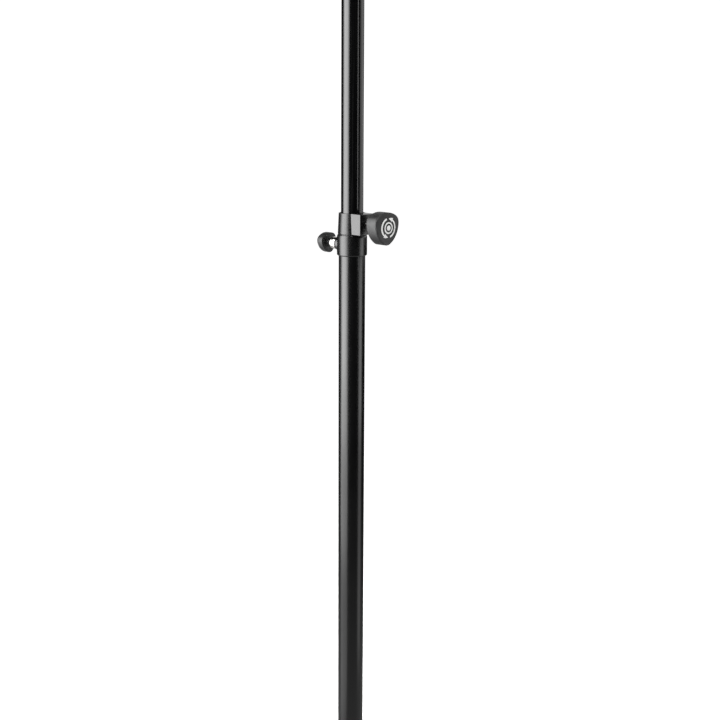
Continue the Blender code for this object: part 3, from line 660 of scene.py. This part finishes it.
def make_base():
    radius = high("outer_tube").x
    start, flange = low("base_plug").z, low("outer_tube").z - GAP
    spigot, top = high("guide_ring").y, high("base_plug").z
    bore = STUD_RADIUS + GAP
    bore_end = high("base_stud").z + GAP
    corners = [(radius, start, SOFT), (radius, flange, SOFT), (spigot, flange, 0), (spigot, top, WIDE),
               (PLUG_CENTRE, top, 0), (PLUG_CENTRE, bore_end, 0), (bore, bore_end, 0), (bore, start, EASED)]
    plug = piece("base_plug_turned", turned(corners), looks["bare_steel"])
    stand_for(plug, "bare_steel", "base_plug")

    bottom, top = low("base_stud").z, high("base_stud").z
    rows = [ring(STUD_END_RADIUS, bottom, SMALL), ring(STUD_CONE_RADIUS, bottom + STUD_POINT / 2, SMALL)]
    rows += threaded(STUD_RADIUS, STUD_PITCH, bottom + STUD_POINT, top - STUD_POINT)
    rows.append(ring(STUD_END_RADIUS, top, SMALL))
    stud = piece("base_stud_threaded", loft(rows), looks["bare_steel"])
    stand_for(stud, "bare_steel", "base_stud")

    outer, top = high("base_washer").x, high("base_washer").z
    corners = [(outer, 0.0, WASHER_EDGE), (outer, top, WASHER_EDGE), (bore, top, EASED), (bore, 0.0, EASED)]
    washer = piece("base_washer_rubber", turned(corners), looks["rubber"])
    stand_for(washer, "rubber", "base_washer")


def make_mast_cap():
    bottom, top = low("mast_cap").z, high("mast_cap").z
    radius = high("mast_cap").x
    spigot = radius - TUBE_WALL - GAP
    shoulder = high("inner_tube").z + GAP
    dish, gate = top - CAP_DISH, GATE_RADIUS
    corners = [(spigot, bottom, WIDE), (spigot, shoulder, 0), (radius, shoulder, FINE),
               (radius, top, CAP_EDGE), (DISH_RADIUS, top, EASED),
               (DISH_RADIUS - LOOSE, dish, BROKEN), (gate, dish, 0),
               (gate - BROKEN, dish + EASED, FINE)]
    cap = piece("mast_cap_moulded", turned(corners, closed=False), looks["plastic_black"])
    stand_for(cap, "plastic_black", "mast_cap")


# ---------------------------------------------------------------- clamp screw and knob

def make_screw():
    place = sideways(0.0, middle("clamp_spindle").z)
    start, end = low("clamp_spindle").x, high("clamp_spindle").x
    hub_end = low("clamp_knob").x - GAP
    hub = hub_end - HUB_LENGTH
    thread_start = start + TIP_LENGTH
    rows = [ring(TIP_RADIUS - EASED, start, SMALL), ring(TIP_RADIUS, start + EASED, SMALL)]
    rows.append(ring(TIP_RADIUS, thread_start - FINE, SMALL))
    rows += threaded(SCREW_RADIUS, SCREW_PITCH, thread_start, hub - FINE)
    corners = [(SCREW_ROOT, hub, 0), (HUB_RADIUS, hub, SOFT), (HUB_RADIUS, hub_end, BROKEN),
               (SCREW_RADIUS, hub_end, 0), (SCREW_RADIUS, end, SOFT), (TIP_RADIUS, end, 0)]
    rows += [ring(p.x, p.y, SMALL) for p in rounded(corners)]
    screw = piece("clamp_screw_threaded", loft(rows), looks["blackened_steel"], place)
    stand_for(screw, "blackened_steel", "clamp_spindle")

    start, end = low("thread_insert").x, high("clamp_head").x
    step = end - INSERT_NECK_LENGTH
    inner = SCREW_RADIUS + GAP
    corners = [(INSERT_RADIUS, start, BROKEN), (INSERT_RADIUS, step, 0), (INSERT_NECK_RADIUS, step, 0),
               (INSERT_NECK_RADIUS, end - GAP, BROKEN), (inner, end - GAP, LOOSE), (inner, start, 0)]
    insert = piece("thread_insert_turned", turned(corners, SMALL), looks["blackened_steel"], place)
    stand_for(insert, "blackened_steel", "thread_insert")


def make_clamp_knob():
    place = sideways(0.0, middle("clamp_spindle").z)

    def lobed(inset, height):
        return lobed_ring(KNOB_SIDE, KNOB_CORNER - inset, height)

    back, rim = low("clamp_knob").x, high("clamp_knob").x
    floor = back + KNOB_FLOOR
    bore = SCREW_RADIUS + GAP
    profile = []
    for i in range(7):
        a = i * math.pi / 12
        profile.append((KNOB_EDGE * (1 - math.sin(a)), back + KNOB_EDGE * (1 - math.cos(a))))
    profile += [(0.0, rim - KNOB_LIP), (KNOB_LIP, rim), (KNOB_WALL, rim), (KNOB_WALL, floor)]
    rows = [lobed(inset, height) for inset, height in profile]
    rows += [circle_like(rows[0], bore, floor), circle_like(rows[0], bore, back)]
    cup = piece("clamp_knob_moulded", loft(rows, closed=True), looks["plastic_black"], place)
    stand_for(cup, "plastic_black", "clamp_knob")

    start, top = low("clamp_knob_cover").x + COVER_SKIRT, high("clamp_knob_cover").x
    skirt = KNOB_WALL + GAP
    foot = start + COVER_STEP
    crown = top - foot - COVER_EDGE * math.sin(COVER_SWEEP)
    profile = [(skirt, start - COVER_SKIRT), (skirt, start), (KNOB_LIP, start), (0.0, foot)]
    for i in range(1, 8):
        a = COVER_SWEEP * i / 7
        profile.append((COVER_EDGE * (1 - math.cos(a)), foot + COVER_EDGE * math.sin(a)))
    rows = [lobed(inset, height) for inset, height in profile]
    inset, height = profile[-1]
    outline = lobed(inset, 0.0)
    for i in range(1, 14):
        factor = math.cos(i * math.pi / 28)
        domed = height + crown * (1 - factor ** 2)
        rows.append([Vector((p.x * factor, p.y * factor, domed)) for p in outline])
    cover = piece("clamp_knob_face", loft(rows), looks["plastic_black"], place)
    cover.data.materials.append(looks["white_print"])

    def face_height(x, y):
        """The dome's height over a point of the knob's face."""
        direction = Vector((x, y, 0))
        nearest = max(outline, key=lambda p: p.normalized().dot(direction.normalized()))
        factor = min(1.0, direction.length / nearest.length)
        return height + crown * (1 - factor ** 2)

    bm = emblem(face_height)
    bm.transform(place)
    for face in bm.faces:
        face.material_index = 1
        face.smooth = True
    bm.from_mesh(cover.data)
    bm.to_mesh(cover.data)
    bm.free()
    cover.data.set_sharp_from_angle(angle=SHARP)
    stand_for(cover, "plastic_black", "clamp_knob_cover")


def emblem(face_height):
    """A turn symbol: two arrows that chase each other around a ring and a dot, raised on the knob's face."""
    bm = bmesh.new()

    def band(inner, outer, closed=False):
        """A raised band between two rows of points."""
        rows = []
        section = ((inner, -PRINT_SINK), (inner, PRINT_LIFT), (outer, PRINT_LIFT), (outer, -PRINT_SINK))
        for points, rise in section:
            rows.append([bm.verts.new((x, y, face_height(x, y) + rise)) for x, y in points])
        count = len(inner)
        for near, far in zip(rows, rows[1:] + rows[:1]):
            for i in range(count if closed else count - 1):
                j = (i + 1) % count
                bm.faces.new((near[i], near[j], far[j], far[i]))
        if not closed:
            bm.faces.new([row[0] for row in rows])
            bm.faces.new([row[-1] for row in rows])

    def arc(radius, start, steps):
        """Points of an arrow's body."""
        angles = [start + ARROW_SWEEP * i / steps for i in range(steps + 1)]
        return [(radius * math.cos(a), radius * math.sin(a)) for a in angles]

    def circle(radius, steps):
        return [(p.x, p.y) for p in ring(radius, 0.0, steps)]

    half = ARROW_LINE / 2
    for start in (EMBLEM_TURN, EMBLEM_TURN + math.pi):
        band(arc(ARROW_RADIUS - half, start, 28), arc(ARROW_RADIUS + half, start, 28))
        rows = []
        for sign in (-1, 1):
            row = []
            for i in range(9):
                radius = ARROW_RADIUS + sign * (ARROW_HEAD * (1 - i / 8) + HAIRLINE)
                a = start + ARROW_SWEEP + ARROW_HEAD_SWEEP * i / 8
                row.append((radius * math.cos(a), radius * math.sin(a)))
            rows.append(row)
        band(*rows)
    for inner, outer, steps in EMBLEM_CIRCLES:
        band(circle(inner, steps), circle(outer, steps), closed=True)
    bmesh.ops.recalc_face_normals(bm, faces=bm.faces)
    return bm


# ---------------------------------------------------------------- index bolt

def make_index_body(place):
    """The plated housing with its lock washer."""
    start, end = -high("index_lock_washer").x, -low("index_lock_washer").x
    outer = (high("index_lock_washer").y - low("index_lock_washer").y) / 2
    inner = SLEEVE_RADIUS + GAP
    corners = [(outer, start, FINE), (outer, end, FINE), (inner, end, HAIRLINE), (inner, start, HAIRLINE)]
    washer = piece("index_lock_washer_plated", turned(corners, SMALL), looks["zinc"], place)
    stand_for(washer, "zinc", "index_lock_washer")

    start, front = -high("index_body").x, -low("index_body").x
    outer = (high("index_body").y - low("index_body").y) / 2
    flange = end + GAP
    seat = front - HOUSING_WALL
    shaft = PIN_SHAFT_RADIUS + GAP
    line, line_end = front - LINE_START, front - LINE_END
    line_radius = outer - LINE_DEPTH
    corners = [(SLEEVE_RADIUS, start, FINE), (SLEEVE_RADIUS, flange, 0), (outer, flange, EASED),
               (outer, line, FINE), (line_radius, line + BROKEN, HAIRLINE),
               (line_radius, line_end - BROKEN, HAIRLINE), (outer, line_end, FINE),
               (outer, front, HOUSING_EDGE), (shaft, front, EASED), (shaft, seat, 0),
               (SLEEVE_BORE, seat, 0), (SLEEVE_BORE, start, FINE)]
    body = piece("index_body_plated", turned(corners, HOUSING_POINTS), looks["nickel"], place)
    stand_for(body, "nickel", "index_body")


def make_index_pin(place, cross, hole):
    """The ground pin, with a cross hole for the roll pin."""
    tip, end = -high("index_pin").x, -low("index_pin").x
    shoulder = -high("index_body").x - GAP + PIN_DROP
    shoulder_end = shoulder + PIN_SHOULDER_LENGTH
    corners = [(PIN_CENTRE, tip, 0), (PIN_RADIUS, tip, PIN_POINT), (PIN_RADIUS, shoulder, 0),
               (PIN_SHOULDER_RADIUS, shoulder, FINE), (PIN_SHOULDER_RADIUS, shoulder_end, FINE),
               (PIN_SHAFT_RADIUS, shoulder_end, 0), (PIN_SHAFT_RADIUS, end, BROKEN), (PIN_CENTRE, end, 0)]
    pin = piece("index_pin_ground", turned(corners, SMALL, closed=False), looks["bare_steel"], place)
    carve(pin, [('DIFFERENCE', turned(hole, TINY, closed=False), cross)])
    smooth(pin)
    stand_for(pin, "bare_steel", "index_pin")


def make_index_knob(place, cross, hole):
    """The small lobed knob, whose neck is pinned to the pin's shaft."""
    neck, front = -high("index_knob").x, -low("index_knob").x
    back = neck + INDEX_NECK_LENGTH
    blind = -low("index_pin").x + GAP

    def lobed(inset, height):
        return lobed_ring(INDEX_KNOB_SIDE, INDEX_KNOB_CORNER - inset, height, INDEX_KNOB_TURN, points=14)

    outline = lobed(0.0, back)
    shaft = PIN_SHAFT_RADIUS + GAP
    profile = [(shaft, blind), (shaft, neck), (INDEX_NECK_RADIUS - LOOSE, neck),
               (INDEX_NECK_RADIUS, neck + LOOSE), (INDEX_NECK_RADIUS, back - EASED),
               (INDEX_NECK_RADIUS + EASED, back)]
    rows = [circle_like(outline, radius, height) for radius, height in profile]
    for i in range(5):
        a = i * math.pi / 8
        rows.append(lobed(WIDE * (1 - math.sin(a)), back + WIDE * (1 - math.cos(a))))
    face = front - INDEX_CROWN
    for i in range(7):
        a = i * math.pi / 12
        rows.append(lobed(INDEX_KNOB_EDGE * (1 - math.cos(a)), face - INDEX_KNOB_EDGE * (1 - math.sin(a))))
    dome = lobed(INDEX_KNOB_EDGE, 0.0)
    for factor in (0.93, 0.8, 0.6, 0.35, 0.12):
        height = face + INDEX_CROWN * (1 - factor ** 2)
        rows.append([Vector((p.x * factor, p.y * factor, height)) for p in dome])
    knob = piece("index_knob_moulded", loft(rows), looks["plastic_black"], place)
    carve(knob, [('DIFFERENCE', turned(hole, TINY, closed=False), cross)])
    smooth(knob)
    stand_for(knob, "plastic_black", "index_knob")


def make_index_bolt():
    place = sideways(math.pi, middle("index_pin").z)
    across = Matrix.Rotation(math.pi / 2, 4, 'X')
    cross = place @ Matrix.Translation((0, 0, -low("index_roll_pin").x - ROLL_PIN_RADIUS)) @ across
    reach = INDEX_NECK_RADIUS - GAP + CUT_PAST
    hole = [(ROLL_PIN_RADIUS + GAP, -reach, 0), (ROLL_PIN_RADIUS + GAP, reach, 0)]
    make_index_body(place)
    make_index_pin(place, cross, hole)
    make_index_knob(place, cross, hole)


def relook_kept_nodes():
    """CAD nodes that keep their mesh get the finished material of their slot."""
    for node in frame["nodes"].values():
        for slot in node.material_slots:
            base = slot.material.name.split(".")[0]
            if base in looks:
                slot.material = looks[base]


relook_kept_nodes()
make_tubes()
make_castings()
make_rivets()
make_base()
make_mast_cap()
make_screw()
make_clamp_knob()
make_index_bolt()


# ---------------------------------------------------------------- stage, camera and light

CAMERA_AZIMUTH = math.radians(45)
CAMERA_DISTANCE = 2.032
CAMERA_HEIGHT = 1.1788
CAMERA_PITCH = math.radians(-12.5)
CAMERA_YAW = math.radians(-0.379)
CAMERA_ROLL = math.radians(0.29)
CLAMP_HEIGHT = 0.94       # where the overhead light points
FLOOR_RADIUS = 12.0
toward_camera = Vector((math.sin(CAMERA_AZIMUTH), -math.cos(CAMERA_AZIMUTH), 0))
picture_right = Vector((math.cos(CAMERA_AZIMUTH), math.sin(CAMERA_AZIMUTH), 0))


def make_camera():
    data = bpy.data.cameras.new("camera")
    data.lens = 65
    data.sensor_width = 36
    data.clip_end = 50
    camera = bpy.data.objects.new("camera", data)
    bpy.context.collection.objects.link(camera)
    camera.location = toward_camera * CAMERA_DISTANCE + Vector((0, 0, CAMERA_HEIGHT))
    ahead = -toward_camera * math.cos(CAMERA_PITCH) + Vector((0, 0, math.sin(CAMERA_PITCH)))
    yaw, roll = Quaternion((0, 0, 1), CAMERA_YAW), Quaternion((0, 0, 1), CAMERA_ROLL)
    camera.rotation_mode = 'QUATERNION'
    camera.rotation_quaternion = yaw @ ahead.to_track_quat('-Z', 'Y') @ roll
    bpy.context.scene.camera = camera


def panel(name, around, distance, bottom, top, half_angle, radiance):
    """An upright light that faces the pole, at an angle around it from the camera's side."""
    side = toward_camera * math.cos(around) + picture_right * math.sin(around)
    width, tall = 2 * distance * math.tan(half_angle), top - bottom
    data = bpy.data.lights.new(name, 'AREA')
    data.shape = 'RECTANGLE'
    data.size = width
    data.size_y = tall
    data.energy = radiance * math.pi * width * tall
    light = bpy.data.objects.new(name, data)
    bpy.context.collection.objects.link(light)
    light.location = side * distance + Vector((0, 0, (bottom + top) / 2))
    light.rotation_mode = 'QUATERNION'
    light.rotation_quaternion = (-side).to_track_quat('-Z', 'Y')
    light.visible_camera = False
    return light


def make_lights():
    """A large softbox with a hot middle on the left, smaller ones on the right and one overhead."""
    degrees = math.radians
    # half-angle in degrees, bottom, top and radiance, each a centimetre behind the one before
    key = ((35, -0.50, 2.0, 1.45), (35, 0.06, 1.9, 2.3), (28, 0.38, 1.85, 3.1), (19, 0.57, 1.8, 3.7))
    for k, (half_angle, bottom, top, radiance) in enumerate(key, start=1):
        panel(f"key_{k}", degrees(-69), 0.80 + 0.01 * k, bottom, top, degrees(half_angle), radiance)
    panel("fill_low", degrees(80), 0.90, -0.30, 0.90, degrees(16), 1.1)
    panel("fill_middle", degrees(80), 0.92, 0.40, 0.90, degrees(16), 1.6)
    panel("fill_high", degrees(110), 0.90, 0.88, 1.75, degrees(26), 1.3)
    panel("edge_high", degrees(57), 0.90, 0.88, 1.75, degrees(3.5), 3.0)
    overhead = panel("overhead", degrees(45), 0.75, 1.5, 2.5, degrees(33), 5.5)
    overhead.location = (toward_camera + picture_right) * 0.53 + Vector((0, 0, 2.25))
    aim = Vector((0, 0, CLAMP_HEIGHT)) - overhead.location
    overhead.rotation_quaternion = aim.to_track_quat('-Z', 'Y')


def make_stage():
    """A pale floor at the stud's foot that no reflection, bounce or shadow sees, in a white studio."""
    floor_height = low("base_stud").z
    bm = bmesh.new()
    bmesh.ops.create_circle(bm, cap_ends=True, segments=96, radius=FLOOR_RADIUS)
    bmesh.ops.translate(bm, verts=bm.verts, vec=(0, 0, floor_height))
    pale = bpy.data.materials.new("pale_floor")
    pale.use_nodes = True
    shader = pale.node_tree.nodes["Principled BSDF"]
    shader.inputs["Base Color"].default_value = (0.9, 0.9, 0.9, 1.0)
    shader.inputs["Roughness"].default_value = 0.9
    shader.inputs["Specular IOR Level"].default_value = 0.0
    shader.inputs["Emission Color"].default_value = (1.0, 1.0, 1.0, 1.0)
    shader.inputs["Emission Strength"].default_value = 1.0
    floor = piece("floor", bm, pale)
    floor.visible_glossy = False
    floor.visible_diffuse = False
    floor.visible_shadow = False
    make_world()


def make_world():
    """A white studio: seen as white everywhere, it lights the pole from behind and from the floor."""
    world = bpy.data.worlds.new("studio")
    bpy.context.scene.world = world
    world.use_nodes = True
    tree = world.node_tree
    tree.nodes.clear()

    def node(kind, **settings):
        made = tree.nodes.new(kind)
        for key, value in settings.items():
            setattr(made, key, value)
        return made

    def along(direction):
        made = node("ShaderNodeVectorMath", operation='DOT_PRODUCT')
        made.inputs[1].default_value = direction
        tree.links.new(place.outputs["Generated"], made.inputs[0])
        return made.outputs["Value"]

    def calculate(operation, first, second):
        made = node("ShaderNodeMath", operation=operation)
        for socket, value in zip(made.inputs, (first, second)):
            if isinstance(value, (int, float)):
                socket.default_value = value
            else:
                tree.links.new(value, socket)
        return made.outputs["Value"]

    def ramp(value, start, end, low_value, high_value):
        made = node("ShaderNodeMapRange")
        for socket, number in zip(made.inputs[1:5], (start, end, low_value, high_value)):
            socket.default_value = number
        tree.links.new(value, made.inputs["Value"])
        return made.outputs["Result"]

    place = node("ShaderNodeTexCoord")
    aside = calculate('ABSOLUTE', along(picture_right), 0.0)
    behind = calculate('SUBTRACT', along(-toward_camera), aside)
    backdrop = ramp(behind, 0.50, 0.88, 0.0, 1.0)
    ground = ramp(along((0, 0, -1)), 0.33, 0.62, 0.0, 0.55)
    strength = calculate('ADD', calculate('MAXIMUM', backdrop, ground), 0.01)

    seen = node("ShaderNodeBackground")
    seen.inputs["Strength"].default_value = 1.1
    lit = node("ShaderNodeBackground")
    for background in (seen, lit):
        background.inputs["Color"].default_value = (1.0, 1.0, 1.0, 1.0)
    tree.links.new(strength, lit.inputs["Strength"])
    mix = node("ShaderNodeMixShader")
    path = node("ShaderNodeLightPath")
    tree.links.new(path.outputs["Is Camera Ray"], mix.inputs["Fac"])
    tree.links.new(lit.outputs["Background"], mix.inputs[1])
    tree.links.new(seen.outputs["Background"], mix.inputs[2])
    output = node("ShaderNodeOutputWorld")
    tree.links.new(mix.outputs["Shader"], output.inputs["Surface"])


make_camera()
make_lights()
make_stage()
bpy.context.scene.view_settings.view_transform = 'Standard'
